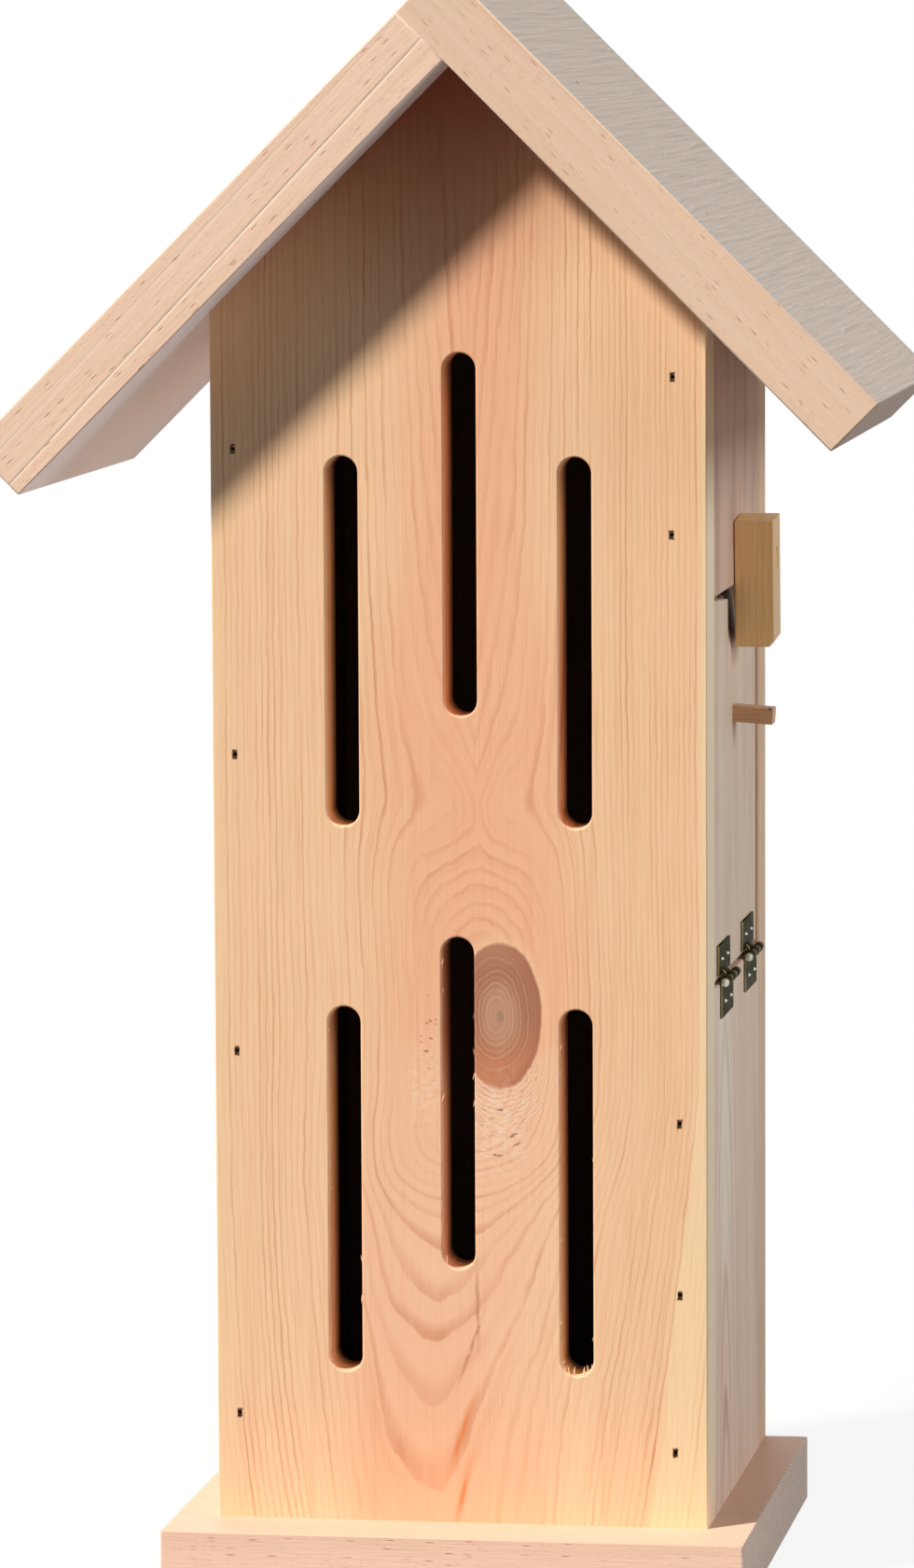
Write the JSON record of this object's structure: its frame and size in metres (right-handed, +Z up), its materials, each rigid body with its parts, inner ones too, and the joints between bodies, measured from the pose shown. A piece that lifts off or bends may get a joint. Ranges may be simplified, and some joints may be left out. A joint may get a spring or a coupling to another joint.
{
  "type": "butterfly house",
  "caption": "Wooden butterfly house: a tall gabled box with upright entry slots, an overhanging roof, a base board, and a drop-down side door held shut by a turn button.",
  "frame": {"origin": "centre of the base board's underside", "axes": "+Z up, -Y the front with the slots, +X the side with the door"},
  "size_m": [0.2715, 0.174, 0.4893],
  "materials": {
    "front_pine": "planed bare pine with a red knot, pinkish heartwood and yellow sapwood",
    "side_pine": "planed bare pine, straight grain",
    "roof_beech": "sawn and planed bare beech with short dark flecks",
    "base_beech": "planed bare beech with short dark flecks",
    "button_wood": "bare softwood, golden brown, eased edges",
    "pull_wood": "bare reddish hardwood strip",
    "hinge_brass": "dull plated, olive tone",
    "screw_steel": "bright zinc plate",
    "brad_steel": "dull drawn wire"
  },
  "bodies": {
    "house": {"base_board": "base_beech", "front_panel": "front_pine", "back_panel": "side_pine", "left_side_panel": "side_pine", "right_lower_panel": "side_pine", "right_upper_panel": "side_pine", "roof_board_left": "roof_beech", "roof_board_right": "roof_beech", "door_stop_front": "side_pine", "door_stop_back": "side_pine", "turn_button_screw": "screw_steel", "front_hinge_wall_leaf": "hinge_brass", "front_hinge_pin": "screw_steel", "rear_hinge_wall_leaf": "hinge_brass", "rear_hinge_pin": "screw_steel", "wall_leaf_screws": "screw_steel", "front_brads_left": "brad_steel", "front_brads_right": "brad_steel", "back_brads": "brad_steel", "roof_brads_left": "brad_steel", "roof_brads_right": "brad_steel", "base_screws": "screw_steel", "hanger_plate": "screw_steel", "hanger_screws": "screw_steel"},
    "access_door": {"access_door": "side_pine", "door_pull": "pull_wood", "front_hinge_door_leaf": "hinge_brass", "rear_hinge_door_leaf": "hinge_brass", "door_leaf_screws": "screw_steel"},
    "turn_button": {"turn_button": "button_wood"}
  },
  "joints": [
    {"name": "door_hinge", "type": "hinge", "parent": "house", "child": "access_door", "pos_m": [0.0766, 0.012, 0.182], "axis": [0, 1, 0], "range_deg": [0, 165]},
    {"name": "button_turn", "type": "hinge", "parent": "house", "child": "turn_button", "pos_m": [0.0813, 0.012, 0.3079], "axis": [1, 0, 0], "continuous": true}
  ]
}
